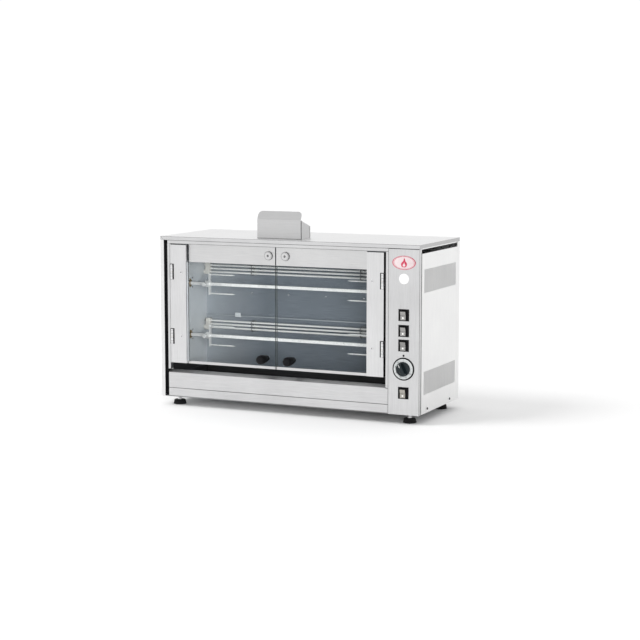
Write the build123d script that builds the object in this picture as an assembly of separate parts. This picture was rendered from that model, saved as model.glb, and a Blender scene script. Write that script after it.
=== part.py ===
from build123d import *
from collections import namedtuple
import os

# Countertop rotisserie oven with two spits, two hinged glass doors, a drip drawer and a control column.
# Millimetres. X runs across the front, Y from the front to the back and Z up. Every piece is drawn from the
# middle of the case's lower front edge, and save() moves it once, to the middle of the standing footprint.

# Case
case_width = 950.0
case_depth = 373.0
case_height = 552.5
foot_reach = 32.0             # the case's underside above the surface that it stands on
sheet = 1.5                   # steel sheet
half_width = case_width / 2
cover_lip = 12.5              # turned-down edge of the top cover
cover_bottom = case_height - cover_lip
strip_depth = 18.0            # how far the control column wraps round the right side
right_panel_top = 523.0       # leaves a vent slot under the top cover
vent_shade_bottom = 536.5     # lower edge of the strip inside the vent slot
rear_flange = 22.0            # how far the rear panel wraps round both sides
front_flange = 13.0           # width of the left panel's front flange

# Front frame and control column
column_left = 367.8
column_middle = 421.5
jamb_width = 8.5
left_jamb_edge = -439.5       # the jamb faces that look into the door opening
right_jamb_edge = 359.0
frame_depth = 24.0
header_bottom = 528.0
left_jamb_bottom = 96.5
right_jamb_bottom = 85.0

# Doors
door_bottom = 117.0
door_top = 526.8
centre_gap_x = -42.9
centre_gap = 4.0
stile_width = 59.5
stile_depth = 22.0
stile_bottom = 118.8
stile_top = 524.5
rail_face = 13.5              # front plane of the top rail and the bottom trim
rail_height = 60.5
rail_inset = 5.0              # gap between the stile and the top rail
trim_height = 9.0
glass_front = rail_face + sheet
glass_thickness = 4.0
glass_back = glass_front + glass_thickness
door_back = glass_back + sheet
clamp_levels = (431.0, 210.5)
clamp_offset = 40.5
handle_reach = 47.0           # how far the handles stand in front of the case

# Hinges
hinge_levels = (184.5, 406.5)
hinge_length = 50.5
hinge_radius = 4.5
pin_radius = 2.2
pin_clearance = 0.05
hinge_notch = 12.0            # width of the stile's notch round each hinge
hinge_arm = 3.0
hinge_inset = 4.0             # pin axis inside the door's edge
hinge_y = -1.0

# Quarter-turn locks
lock_level = 498.0
lock_radius = 14.5
lock_height = 5.5
lock_shaft = 4.0
lock_clearance = 0.3
cam_length = 36.0
cam_half_width = 6.0
cam_thickness = 2.0

# Cavity, spits and heaters
cavity_left = -438.0
cavity_right = 352.5
cavity_front = 24.5
cavity_back = 260.0
shelf_top = 34.5
spit_y = 133.0
spit_levels = (380.5, 200.0)
spit_side = 10.0
socket_clearance = 0.2
journal_radius = 4.5
fork_positions = (-363.0, 270.0)
fork_hub_radius = 12.0
fork_hub_half = 8.0
fork_clearance = 0.1
prong_radius = 2.5
fork_spread = 33.0
prong_length = 85.0
heater_y = 246.0
heater_radius = 3.5
heater_pitch = 12.0
heater_levels = (411.0, 213.0)  # lowest run of each element
heater_ends = (-415.0, 330.0)
bracket_positions = (-250.0, 165.0)
bracket_overhang = 8.0
fold_level = 257.0            # ledge folded across the back wall
fold_reach = 8.0

# Drip drawer
drawer_left = -447.0
drawer_right = 367.2
drawer_bottom = 31.5
base_split = 1.6              # gap between the base rail and the drawer's front
drawer_top = 83.0
drawer_lip_rise = 11.0
drawer_lip_depth = 15.0
drawer_lip_short = 10.2       # the ledge stops short of the control column
tray_left = -430.0
tray_right = 345.0
tray_back = 252.0
tray_bottom = 35.0
tray_top = 80.0

# Controls
rocker_levels = (325.5, 274.3, 226.8, 72.0)
rocker_frame = (36.0, 38.5)
rocker_body = (24.8, 33.8)
rocker_bezel_rise = 2.5
rocker_opening = (20.0, 31.2)
rocker_paddle = (19.0, 28.6)
rocker_pivot_y = 4.0
rocker_tilt = 7.0
paddle_end_rise = 9.0         # the paddle's raised ends and its sunk middle, in front of the panel
paddle_middle_rise = 6.7
dial_level = 150.4
dial_radius = 37.4
knob_radius = 23.4
grip_lean = 27.0               # the grip leans to the left at the off mark
spindle_radius = 3.0
pilot_level = 193.8
pilot_radius = 3.3

# Flue, feet, cord outlet and fasteners
flue_left = -131.0
flue_right = 30.0
flue_front = 54.0
flue_depth = 74.0
flue_crease = 616.0
flue_top = 644.0
flue_lean = 13.0
flue_rear_top = 593.0
foot_places = [(x, y) for x in (-430.0, 427.0) for y in (45.0, 330.0)]
foot_radius = 22.5
foot_height = 16.0
foot_taper = 3.0
stud_radius = 5.0
gland_reach = 12.0            # how far the cable gland stands behind the case
gland_place = (400.0, 60.0)
screw_hole = 2.0
screw_shank = 1.9
screw_head = 3.8
screw_rise = 1.5
side_screws = ((77.0, 13.0), (286.0, 12.5))
rear_screws = [(x, z) for x in (-440.0, 0.0, 440.0) for z in (20.0, 520.0)]
grille_low = (41.0, 338.0, 62.0, 138.0)
grille_high = (41.0, 338.0, 395.0, 471.0)
grille_slot = 3.0
grille_pitch = 6.0

# Offsets run from the hinge edge for the handles and from the free edge for the locks.
Door = namedtuple("Door", "name edge side jamb handle_offset handle_level lock_offset")
DOORS = (
    Door("left", -436.0, 1, left_jamb_edge, 358.0, 153.0, 24.5),
    Door("right", 351.3, -1, right_jamb_edge, 331.0, 152.5, 33.5),
)

os.makedirs("parts", exist_ok=True)


# Drawing helpers

def save(name, shape):
    middle_y = (case_depth + gland_reach - handle_reach) / 2
    export_step(Pos(0, -middle_y, foot_reach) * shape, f"parts/{name}.step")


def block(x0, x1, y0, y1, z0, z1):
    middle = Pos((x0 + x1) / 2, (y0 + y1) / 2, (z0 + z1) / 2)
    return middle * Box(abs(x1 - x0), abs(y1 - y0), abs(z1 - z0))


def rod_x(radius, x0, x1, y, z):
    return Pos((x0 + x1) / 2, y, z) * Rot(0, 90, 0) * Cylinder(radius, abs(x1 - x0))


def rod_y(radius, y0, y1, x, z):
    return Pos(x, (y0 + y1) / 2, z) * Rot(90, 0, 0) * Cylinder(radius, abs(y1 - y0))


def rod_z(radius, z0, z1, x, y):
    return Pos(x, y, (z0 + z1) / 2) * Cylinder(radius, abs(z1 - z0))


def side_profile(points, x0, x1):
    """A closed outline of (y, z) points, carried from x0 to x1."""
    face = make_face(Polyline([(0, y, z) for y, z in points], close=True))
    return Pos(x0, 0, 0) * extrude(face, amount=x1 - x0, dir=(1, 0, 0))


def turned_y(profile, x, z):
    """A closed outline of (radius, y) edges, turned about the Y direction through x, z."""
    return Pos(x, 0, z) * revolve(make_face(profile), Axis.Y)


def group(solids):
    return Compound(list(solids))


# Case

def grille_slots(area, x0, x1):
    y0, y1, z0, z1 = area
    count = int((y1 - y0) // grille_pitch)
    start = (y0 + y1 - (count - 1) * grille_pitch) / 2
    places = [start + index * grille_pitch for index in range(count)]
    return [block(x0, x1, y - grille_slot / 2, y + grille_slot / 2, z0, z1) for y in places]


def side_panel(side, front, top):
    outer, inner = side * half_width, side * (half_width - sheet)
    panel = block(inner, outer, front, case_depth - rear_flange - 0.5, 0, top)
    cuts = [rod_x(screw_hole, inner - side, outer + side, y, z) for y, z in side_screws]
    for area in (grille_low, grille_high):
        cuts += grille_slots(area, inner - side, outer + side)
    return panel - cuts


def left_side_panel():
    flange = block(-half_width, -half_width + front_flange, 0, sheet, 0, cover_bottom - 0.3)
    return side_panel(-1, 0, cover_bottom - 0.3) + flange


def right_side_panel():
    return side_panel(1, strip_depth + 0.5, right_panel_top)


def flue_slots(z0, z1):
    count, pitch, width = 11, 14.0, 7.0
    first = (flue_left + flue_right - (count - 1) * pitch) / 2
    front, back = flue_front + 8, flue_front + flue_depth - 8
    places = [first + index * pitch for index in range(count)]
    return [block(x - width / 2, x + width / 2, front, back, z0, z1) for x in places]


def top_cover():
    cover = block(-half_width, half_width, 0, case_depth, cover_bottom, case_height)
    inside = block(-half_width + sheet, half_width - sheet, sheet, case_depth - sheet,
                   cover_bottom - 1, case_height - sheet)
    drop = block(half_width - 2 * sheet - 0.5, half_width - sheet - 0.5,
                 strip_depth, case_depth - rear_flange, vent_shade_bottom, case_height - sheet)
    return cover - inside - flue_slots(cover_bottom, case_height + 1) + drop


def rear_panel():
    top = cover_bottom - 0.3
    back = block(-half_width, half_width, case_depth - sheet, case_depth, 0, top)
    holes = [rod_y(screw_hole, case_depth - 5, case_depth + 5, x, z) for x, z in rear_screws]
    holes.append(rod_y(8, case_depth - 5, case_depth + 5, *gland_place))
    panel = back - holes
    for side in (-1, 1):
        panel += block(side * (half_width - sheet), side * half_width, case_depth - rear_flange,
                       case_depth - sheet, 0, top)
    return panel


def base_pan():
    pan = block(-half_width + 2, half_width - 2, 2.5, case_depth - 2, 0, sheet)
    return pan - [rod_z(stud_radius + 0.2, -5, 5, x, y) for x, y in foot_places]


def base_front_rail():
    face = block(drawer_left, drawer_right, 0, sheet, 3, drawer_bottom - base_split)
    return face + block(drawer_left, drawer_right, sheet, frame_depth, 3, 3 + sheet)


def header_rail():
    left, right = left_jamb_edge - jamb_width + 0.3, column_left - 0.4
    face = block(left, right, 0, sheet, header_bottom, cover_bottom - 0.3)
    return face + block(left, right, sheet, strip_depth, header_bottom, header_bottom + sheet)


def left_jamb():
    top = header_bottom - 0.3
    outer_edge = left_jamb_edge - jamb_width
    face = block(outer_edge, left_jamb_edge, 0, sheet, left_jamb_bottom, top)
    inner = block(left_jamb_edge - sheet, left_jamb_edge, sheet, frame_depth, left_jamb_bottom, top)
    web = block(outer_edge, outer_edge + sheet, sheet, strip_depth, left_jamb_bottom, top)
    shadow_wall = block(-half_width + 2 * sheet, outer_edge + sheet, strip_depth, strip_depth + sheet,
                        5, cover_bottom - 1)
    return face + inner + web + shadow_wall


def right_jamb():
    top = header_bottom - 0.3
    face = block(right_jamb_edge, column_left - 0.4, 0, sheet, right_jamb_bottom, top)
    inner = block(right_jamb_edge, right_jamb_edge + sheet, sheet, frame_depth, right_jamb_bottom, top)
    return face + inner


def control_panel():
    plate = block(column_left, half_width, 0, sheet, 0, cover_bottom - 1)
    strip = block(half_width - sheet, half_width, sheet, strip_depth, 0, cover_bottom - 1)
    holes = [block(column_middle - 12.5, column_middle + 12.5, -1, 5, z - 17, z + 17) for z in rocker_levels]
    holes.append(rod_y(spindle_radius + 2, -1, 5, column_middle, dial_level))
    holes.append(rod_y(pilot_radius, -1, 5, column_middle, pilot_level))
    return plate + strip - holes


def panel_screws():
    pieces = []
    for side in (-1, 1):
        face = side * half_width
        for y, z in side_screws:
            shank = rod_x(screw_shank, face - side * 6, face, y, z)
            pieces.append(shank + rod_x(screw_head, face, face + side * screw_rise, y, z))
    for x, z in rear_screws:
        shank = rod_y(screw_shank, case_depth - 6, case_depth, x, z)
        pieces.append(shank + rod_y(screw_head, case_depth, case_depth + screw_rise, x, z))
    return group(pieces)


# Cavity

def cavity_side(x0, x1):
    wall = block(x0, x1, cavity_front, cavity_back, shelf_top, header_bottom - 0.2)
    holes = []
    for level in spit_levels:
        holes.append(rod_x(9.6, x0 - 1, x1 + 1, spit_y, level))
    for bottom in heater_levels:
        for run in (bottom, bottom + 2 * heater_pitch):
            holes.append(rod_x(heater_radius + 0.8, x0 - 1, x1 + 1, heater_y, run))
    return wall - holes


def cavity_back_wall():
    wall = block(cavity_left - sheet, cavity_right + sheet, cavity_back, cavity_back + sheet,
                 shelf_top, header_bottom)
    return wall + block(cavity_left + 0.5, cavity_right - 0.5, cavity_back - fold_reach, cavity_back,
                        fold_level, fold_level + sheet)


def cavity_roof():
    roof = block(cavity_left - sheet, cavity_right + sheet, cavity_front, cavity_back,
                 header_bottom, header_bottom + sheet)
    return roof - flue_slots(header_bottom - 1, header_bottom + 3)


def tray_shelf():
    return block(cavity_left - sheet, cavity_right + sheet, 4, cavity_back + sheet,
                 shelf_top - sheet, shelf_top)


def heater_run(bottom):
    """One sheathed element: three level runs joined by half-turn bends, leaving through both side walls."""
    heights = [bottom + index * heater_pitch for index in range(3)]
    left, right = heater_ends
    bend = heater_pitch / 2
    element = rod_x(heater_radius, left, cavity_right + 14, heater_y, heights[2])
    element += rod_x(heater_radius, left, right, heater_y, heights[1])
    element += rod_x(heater_radius, cavity_left - 14, right, heater_y, heights[0])
    ring = Rot(90, 0, 0) * Torus(bend, heater_radius)
    outside_left = block(left - 30, left, heater_y - 10, heater_y + 10, bottom - 20, bottom + 60)
    outside_right = block(right, right + 30, heater_y - 10, heater_y + 10, bottom - 20, bottom + 60)
    element += (Pos(left, heater_y, heights[1] + bend) * ring) & outside_left
    element += (Pos(right, heater_y, heights[0] + bend) * ring) & outside_right
    return element


def heating_elements():
    return group(heater_run(bottom) for bottom in heater_levels)


def element_brackets():
    brackets = []
    for bottom in heater_levels:
        low, high = bottom - bracket_overhang, bottom + 2 * heater_pitch + bracket_overhang
        for x in bracket_positions:
            comb = block(x, x + sheet, heater_y - 7, cavity_back, low, high)
            holes = [rod_x(heater_radius + 0.2, x - 1, x + 3, heater_y, bottom + run * heater_pitch)
                     for run in range(3)]
            foot = block(x, x + 12, cavity_back - sheet, cavity_back, low, high)
            brackets.append(comb - holes + foot)
    return group(brackets)


# Spits and their drives

def spit_bearings():
    bushes = []
    for level in spit_levels:
        flange = rod_x(15, cavity_left, cavity_left + 3, spit_y, level)
        bush = rod_x(9.4, cavity_left - 5, cavity_left + 7, spit_y, level) + flange
        bushes.append(bush - rod_x(journal_radius + 0.05, cavity_left - 6, cavity_left + 8, spit_y, level))
    return group(bushes)


def gearmotors():
    motors = []
    for level in spit_levels:
        gearbox = block(cavity_right + sheet, 386, spit_y - 33, spit_y + 33, level - 33, level + 33)
        can = rod_x(24, 386, 426, spit_y, level)
        motors.append(gearbox + can - rod_x(9.3, 350, 373, spit_y, level))
    return group(motors)


def drive_socket(level):
    socket = rod_x(9.0, 342, 372, spit_y, level)
    half = spit_side / 2 + socket_clearance
    pocket = block(341, 365.5, spit_y - half, spit_y + half, level - half, level + half)
    return socket - pocket


def spit(level):
    half = spit_side / 2
    bar = block(cavity_left + 8, 365, spit_y - half, spit_y + half, level - half, level + half)
    return bar + rod_x(journal_radius, cavity_left - 7, cavity_left + 8, spit_y, level)


def fork(x, direction, level):
    half = spit_side / 2 + fork_clearance
    hub = rod_x(fork_hub_radius, x - fork_hub_half, x + fork_hub_half, spit_y, level)
    hub -= block(x - 9, x + 9, spit_y - half, spit_y + half, level - half, level + half)
    face = x + direction * fork_hub_half
    reach = fork_spread + 2 * prong_radius
    bridge = block(face - direction * 3, face, spit_y - 7, spit_y + 7, level - reach, level + reach)
    bridge -= rod_x(fork_hub_radius, face - direction * 4, face + direction, spit_y, level)
    pieces = hub + bridge
    for end in (-1, 1):
        height = level + end * fork_spread
        pieces += rod_x(prong_radius, face - direction, face + direction * prong_length, spit_y, height)
        point = Cone(prong_radius, 0.4, 12)
        turn = Rot(0, 90 * direction, 0)
        pieces += Pos(face + direction * (prong_length + 6), spit_y, height) * turn * point
    screw_x = x - direction * 2
    pieces -= rod_y(2.5, spit_y - 20, spit_y - 5, screw_x, level)
    thumb_screw = rod_y(2.5, spit_y - 22, spit_y - 5.05, screw_x, level)
    thumb_screw += rod_y(7, spit_y - 30, spit_y - 20, screw_x, level)
    return [pieces, thumb_screw]


def spit_forks(level):
    left, right = fork_positions
    return group(fork(left, 1, level) + fork(right, -1, level))


# Doors

def door_x(door, offset):
    """The x of a place that lies offset from the door's hinge edge, towards its free edge."""
    return door.edge + door.side * offset


def door_block(door, u0, u1, y0, y1, z0, z1):
    return block(door_x(door, u0), door_x(door, u1), y0, y1, z0, z1)


def door_width(door):
    return abs(centre_gap_x - door.edge) - centre_gap / 2


def glass_slot(door, slack):
    return door_block(door, 9, door_width(door) + 1, glass_front - slack, glass_back + slack,
                      door_bottom + sheet, door_top - sheet)


def stile(door):
    shell = door_block(door, 0, stile_width, 0, stile_depth, stile_bottom, stile_top)
    hollow = door_block(door, sheet, stile_width - sheet, sheet, stile_depth - sheet,
                        stile_bottom + sheet, stile_top - sheet)
    cuts = [hollow, glass_slot(door, 0.5)]
    cuts += [door_block(door, -1, hinge_notch, -1, 8, z - 1, z + hinge_length + 1) for z in hinge_levels]
    cuts += [rod_y(2.5, -1, stile_depth + 1, door_x(door, clamp_offset), z) for z in clamp_levels]
    return shell - cuts


def lock_x(door):
    return door_x(door, door_width(door) - door.lock_offset)


def door_glass(door):
    pane = door_block(door, 10, door_width(door), glass_front, glass_back,
                      door_bottom + sheet, door_top - sheet)
    holes = [rod_y(3.2, 0, 30, door_x(door, clamp_offset), z) for z in clamp_levels]
    holes.append(rod_y(3, 0, 30, door_x(door, door.handle_offset), door.handle_level))
    holes.append(rod_y(6, 0, 30, lock_x(door), lock_level))
    return pane - holes


def top_rail(door):
    rail = door_block(door, stile_width + rail_inset, door_width(door), rail_face, door_back,
                      door_top - rail_height, door_top)
    hole = rod_y(lock_shaft + lock_clearance, 0, 30, lock_x(door), lock_level)
    return rail - glass_slot(door, 0) - hole


def bottom_trim(door):
    trim = door_block(door, stile_width + 0.5, door_width(door), rail_face, door_back,
                      door_bottom, door_bottom + trim_height)
    return trim - glass_slot(door, 0)


def handle(door):
    neck, belly, belly_y = 10.0, 15.5, -24.0
    side = Spline((neck, glass_front), (13.2, -4), (belly, belly_y), (11.4, -41.5), (0, -handle_reach),
                  tangents=[(0.1, -1), (-1, 0)])
    axis_line = Line((0, -handle_reach), (0, glass_front))
    foot_line = Line((0, glass_front), (neck, glass_front))
    x = door_x(door, door.handle_offset)
    grip = turned_y([side, axis_line, foot_line], x, door.handle_level)
    return grip - rod_y(2.6, 0, 20, x, door.handle_level)


def door_screws(door):
    pieces = []
    for z in clamp_levels:
        x = door_x(door, clamp_offset)
        pieces.append(rod_y(2.4, 0, stile_depth + 0.5, x, z) + rod_y(4.5, -1.6, 0, x, z))
    x = door_x(door, door.handle_offset)
    pieces.append(rod_y(2.5, 0.5, glass_back, x, door.handle_level)
                  + rod_y(8, glass_back, glass_back + 2.5, x, door.handle_level))
    return group(pieces)


def hinge_x(door):
    return door_x(door, hinge_inset)


def door_knuckles(door):
    x = hinge_x(door)
    knuckles = []
    for z in hinge_levels:
        low, high = z + hinge_length / 2 + 0.25, z + hinge_length
        barrel = rod_z(hinge_radius, low, high, x, hinge_y)
        lap = door_block(door, hinge_inset, hinge_notch + 8, sheet, 2 * sheet, low, high)
        bore = rod_z(pin_radius + pin_clearance, low - 1, high - 2.5, x, hinge_y)
        knuckles.append(barrel + lap - bore)
    return group(knuckles)


def frame_hinges(door):
    """Lower hinge halves: each is a leaf on the jamb, a knuckle and the pin that the door lifts off."""
    x = hinge_x(door)
    halves = []
    for z in hinge_levels:
        low, high = z, z + hinge_length / 2 - 0.25
        leaf = block(door.jamb, door.jamb + door.side * sheet, 0, stile_depth - 4, low, high)
        arm = block(door.jamb, x - door.side * 2, 0, hinge_arm, low, high)
        barrel = rod_z(hinge_radius, low, high, x, hinge_y)
        pin = rod_z(pin_radius, high, z + hinge_length - 3, x, hinge_y)
        halves.append(leaf + arm + barrel + pin)
    return halves


def lock(door):
    x = lock_x(door)
    face = rail_face - lock_clearance
    disc = rod_y(lock_radius, face - lock_height, face, x, lock_level)
    rim = disc.edges().filter_by(GeomType.CIRCLE).sort_by(Axis.Y)[0]
    disc = fillet(rim, 1.5) - rod_y(3.7, face - lock_height - 1, face - lock_height + 1.5, x, lock_level)
    shaft = rod_y(lock_shaft, face, door_back + 2.8, x, lock_level)
    cam_front, cam_back = door_back + 0.8, door_back + 0.8 + cam_thickness
    cam = block(x, x - door.side * cam_length, cam_front, cam_back,
                lock_level - cam_half_width, lock_level + cam_half_width)
    return disc + shaft + cam + rod_y(cam_half_width, cam_front, cam_back, x, lock_level)


# Drip drawer

def drawer_front():
    return block(drawer_left, drawer_right, 0, sheet, drawer_bottom, drawer_top)


def drawer_lip():
    """The sloped finger ledge along the top of the drawer's front."""
    back = drawer_top + drawer_lip_rise
    outline = [(0, drawer_top), (0, drawer_top + sheet),
               (drawer_lip_depth, back), (drawer_lip_depth, back - sheet)]
    return side_profile(outline, drawer_left, drawer_right - drawer_lip_short)


def drip_tray():
    tray = block(tray_left, tray_right, sheet, tray_back, tray_bottom, tray_top)
    inside = block(tray_left + sheet, tray_right - sheet, 2 * sheet, tray_back - sheet,
                   tray_bottom + sheet, tray_top + 1)
    return tray - inside


# Controls

def rocker_frames():
    frames = []
    width, height = rocker_frame
    body_width, body_height = rocker_body
    open_width, open_height = rocker_opening

    def centred(across, tall, y0, y1, z):
        left, low = column_middle - across / 2, z - tall / 2
        return block(left, left + across, y0, y1, low, low + tall)

    for z in rocker_levels:
        bezel = centred(width, height, -rocker_bezel_rise, 0, z)
        bezel = chamfer(bezel.faces().sort_by(Axis.Y)[0].edges(), 1.0)
        body = centred(body_width, body_height, 0, 24, z)
        frames.append(bezel + body - centred(open_width, open_height, -4, 20, z))
    return group(frames)


def rocker(z):
    """A paddle on its off side: a shallow V about a level pivot, tipped by rocker_tilt."""
    width, height = rocker_paddle
    half = height / 2
    outline = [(-paddle_end_rise, half), (-paddle_middle_rise, 0), (-paddle_end_rise, -half),
               (1, -half), (9, -7), (9, 7), (1, half)]
    paddle = side_profile(outline, -width / 2, width / 2)
    pivot = Pos(0, rocker_pivot_y, 0)
    tipped = pivot * Rot(rocker_tilt, 0, 0) * Pos(0, -rocker_pivot_y, 0) * paddle
    return Pos(column_middle, 0, z) * tipped


def dial_disc():
    rim, face, bore = dial_radius - 3.3, dial_radius - 4.1, 5
    outer = [Line((bore, -0.3), (dial_radius, -0.3)), Line((dial_radius, -0.3), (dial_radius, -1.6)),
             Line((dial_radius, -1.6), (dial_radius - 1.5, -3)), Line((dial_radius - 1.5, -3), (rim, -3)),
             Line((rim, -3), (face, -2.3)), Line((face, -2.3), (bore, -2.3)), Line((bore, -2.3), (bore, -0.3))]
    return turned_y(outer, column_middle, dial_level)


def thermostat_knob():
    skirt = rod_y(knob_radius, -10, -2.3, column_middle, dial_level)
    skirt = fillet(skirt.edges().filter_by(GeomType.CIRCLE).sort_by(Axis.Y)[0], 2.5)
    grip = block(column_middle - 6.5, column_middle + 6.5, -26, -8, dial_level - 21, dial_level + 21)
    grip = fillet(grip.edges().filter_by(Axis.Y), 5)
    grip = fillet(grip.faces().sort_by(Axis.Y)[0].edges(), 2)
    centre = Pos(column_middle, 0, dial_level)
    grip = centre * Rot(0, -grip_lean, 0) * centre.inverse() * grip
    spindle = rod_y(spindle_radius, -3, 16, column_middle, dial_level)
    return skirt + grip + spindle


def thermostat_body():
    body = block(column_middle - 20, column_middle + 20, 4, 34, dial_level - 18, dial_level + 18)
    return body - rod_y(spindle_radius + 0.05, 0, 18, column_middle, dial_level)


def pilot_lamp():
    lens = rod_y(pilot_radius, -1.5, 8, column_middle, pilot_level)
    return fillet(lens.edges().filter_by(GeomType.CIRCLE).sort_by(Axis.Y)[0], 1.2)


# Flue

def chimney_front():
    crease, top = flue_crease, flue_top
    front = flue_front
    profile = [(front, case_height), (front, crease), (front + flue_lean, top),
               (front + flue_lean + sheet, top), (front + sheet, crease), (front + sheet, case_height)]
    bent = side_profile(profile, flue_left, flue_right)
    middle_x, middle_z = (flue_left + flue_right) / 2, (case_height + top) / 2
    outline = RectangleRounded(flue_right - flue_left, top - case_height, 15)
    upper = Pos(middle_x, front + 30, middle_z) * Rot(90, 0, 0) * extrude(outline, amount=40, both=True)
    lower = block(flue_left, flue_right, front - 10, front + 30, case_height, crease)
    return bent & (upper + lower)


def chimney_body():
    front, back = flue_front + sheet, flue_front + flue_depth
    outline = [(front, case_height), (back, case_height), (back, flue_rear_top), (front, flue_crease)]
    solid = side_profile(outline, flue_left, flue_right)
    inside = block(flue_left + sheet, flue_right - sheet, front - 1, back - sheet, case_height - 1, flue_top)
    return solid - inside


# Feet and cord outlet

def rubber_feet():
    feet = []
    for x, y in foot_places:
        foot = Cone(foot_radius, foot_radius - foot_taper, foot_height)
        foot = fillet(foot.edges().filter_by(GeomType.CIRCLE).sort_by(Axis.Z)[-1], 2)
        feet.append(Pos(x, y, -foot_reach + foot_height / 2) * foot)
    return group(feet)


def foot_studs():
    studs = []
    for x, y in foot_places:
        flange = rod_z(9, foot_height - foot_reach, foot_height - foot_reach + 3, x, y)
        stud = rod_z(stud_radius, foot_height - foot_reach, 14, x, y)
        nut = Pos(x, y, sheet + 2.5) * extrude(RegularPolygon(9, 6), amount=2.5, both=True)
        studs.append(flange + stud + nut)
    return group(studs)


def cable_gland():
    x, z = gland_place
    shank = rod_y(7.9, case_depth - 10, case_depth, x, z)
    collar = rod_y(13, case_depth, case_depth + 4, x, z)
    cap = Pos(x, case_depth + 8, z) * Rot(-90, 0, 0) * Cone(10.5, 8, 8)
    return shank + collar + cap - rod_y(4.2, case_depth - 12, case_depth + gland_reach + 1, x, z)


PIECES = {
    "left_side_panel": left_side_panel(),
    "right_side_panel": right_side_panel(),
    "top_cover": top_cover(),
    "rear_panel": rear_panel(),
    "base_pan": base_pan(),
    "base_front_rail": base_front_rail(),
    "header_rail": header_rail(),
    "left_jamb": left_jamb(),
    "right_jamb": right_jamb(),
    "control_panel": control_panel(),
    "panel_screws": panel_screws(),
    "cavity_left_wall": cavity_side(cavity_left - sheet, cavity_left),
    "cavity_right_wall": cavity_side(cavity_right, cavity_right + sheet),
    "cavity_back_wall": cavity_back_wall(),
    "cavity_roof": cavity_roof(),
    "tray_shelf": tray_shelf(),
    "heating_elements": heating_elements(),
    "element_brackets": element_brackets(),
    "spit_bearings": spit_bearings(),
    "gearmotors": gearmotors(),
    "frame_hinges": group(half for door in DOORS for half in frame_hinges(door)),
    "drawer_front": drawer_front(),
    "drawer_lip": drawer_lip(),
    "drip_tray": drip_tray(),
    "rocker_frames": rocker_frames(),
    "dial_disc": dial_disc(),
    "thermostat_knob": thermostat_knob(),
    "thermostat_body": thermostat_body(),
    "pilot_lamp": pilot_lamp(),
    "chimney_front": chimney_front(),
    "chimney_body": chimney_body(),
    "rubber_feet": rubber_feet(),
    "foot_studs": foot_studs(),
    "cable_gland": cable_gland(),
}

for level, name in zip(spit_levels, ("upper", "lower")):
    PIECES[f"{name}_spit"] = spit(level)
    PIECES[f"{name}_spit_forks"] = spit_forks(level)
    PIECES[f"{name}_drive_socket"] = drive_socket(level)

for door in DOORS:
    PIECES[f"{door.name}_door_stile"] = stile(door)
    PIECES[f"{door.name}_door_glass"] = door_glass(door)
    PIECES[f"{door.name}_door_top_rail"] = top_rail(door)
    PIECES[f"{door.name}_door_bottom_trim"] = bottom_trim(door)
    PIECES[f"{door.name}_door_handle"] = handle(door)
    PIECES[f"{door.name}_door_screws"] = door_screws(door)
    PIECES[f"{door.name}_door_knuckles"] = door_knuckles(door)
    PIECES[f"{door.name}_door_lock"] = lock(door)

for number, level in enumerate(rocker_levels, 1):
    PIECES[f"rocker_{number}"] = rocker(level)

for name, shape in PIECES.items():
    save(name, shape)
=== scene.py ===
"""Looks of the rotisserie oven: materials, small fittings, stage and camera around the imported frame."""
import math

import bmesh
import bpy
from mathutils import Matrix, Vector


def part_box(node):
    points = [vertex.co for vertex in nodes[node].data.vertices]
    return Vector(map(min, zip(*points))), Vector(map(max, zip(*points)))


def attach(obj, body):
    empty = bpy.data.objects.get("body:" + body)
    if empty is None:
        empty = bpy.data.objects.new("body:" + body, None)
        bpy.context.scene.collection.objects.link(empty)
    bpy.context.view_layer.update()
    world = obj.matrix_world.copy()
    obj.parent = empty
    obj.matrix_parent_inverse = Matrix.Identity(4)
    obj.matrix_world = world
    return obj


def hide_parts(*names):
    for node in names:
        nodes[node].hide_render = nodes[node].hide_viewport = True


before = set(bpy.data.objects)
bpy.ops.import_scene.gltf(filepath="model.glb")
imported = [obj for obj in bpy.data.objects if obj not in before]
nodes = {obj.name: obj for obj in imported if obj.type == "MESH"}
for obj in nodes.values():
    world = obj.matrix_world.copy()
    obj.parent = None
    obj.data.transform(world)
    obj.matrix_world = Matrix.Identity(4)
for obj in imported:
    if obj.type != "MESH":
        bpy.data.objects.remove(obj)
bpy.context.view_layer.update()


# ---- Sizes, in metres and radians ----

DOORS = (("left", 1),
         ("right", -1))    # each door, with the direction from its hinges to the gap between them
PAINTED_LIGHT_STEEL = (0.55, 0.58, 0.62)         # painted light: the back wall's left end, lighter where light from the side reaches it

DIAL_FACE = 0.0021                      # from the disc's back to its face
SCALE_INNER, SCALE_OUTER = 0.0237, 0.0333
MARK_END = 0.0327                       # the marks' outer ends
FIGURE_RADIUS, FIGURE_SIZE = 0.0273, 0.0046
DIAL_SWEEP, MARK_STEP, FIGURE_STEP = 280, 10, 40        # degrees
POINTER_RADIUS = 0.0135
RIB_RADIUS, RIB_STEP = 0.0232, 10       # the knob's skirt ribs, and the degrees between them

ROCKER_TILT = math.radians(7)
ROCKER_PIVOT = 0.0040                   # behind the column's front
PADDLE_SLOPE = math.radians(9.1)
PADDLE_FACE = 0.00785                   # the middle of a paddle half's face, before the column's front
PADDLE_MIDDLE = 0.00715                 # the same point, above or below the pivot
PADDLE_LAYERS = ((0.0090, 0.0002, 0.0069), (0.0078, 0.0005, 0.0056))    # half sizes

BADGE_RADIUS, BADGE_SQUASH = 0.0400, 0.56
BADGE_DROP, LABEL_DROP = 0.0445, 0.0520  # from the column's top to the badge, and on to the label
LABEL_RADIUS = 0.0168

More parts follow.
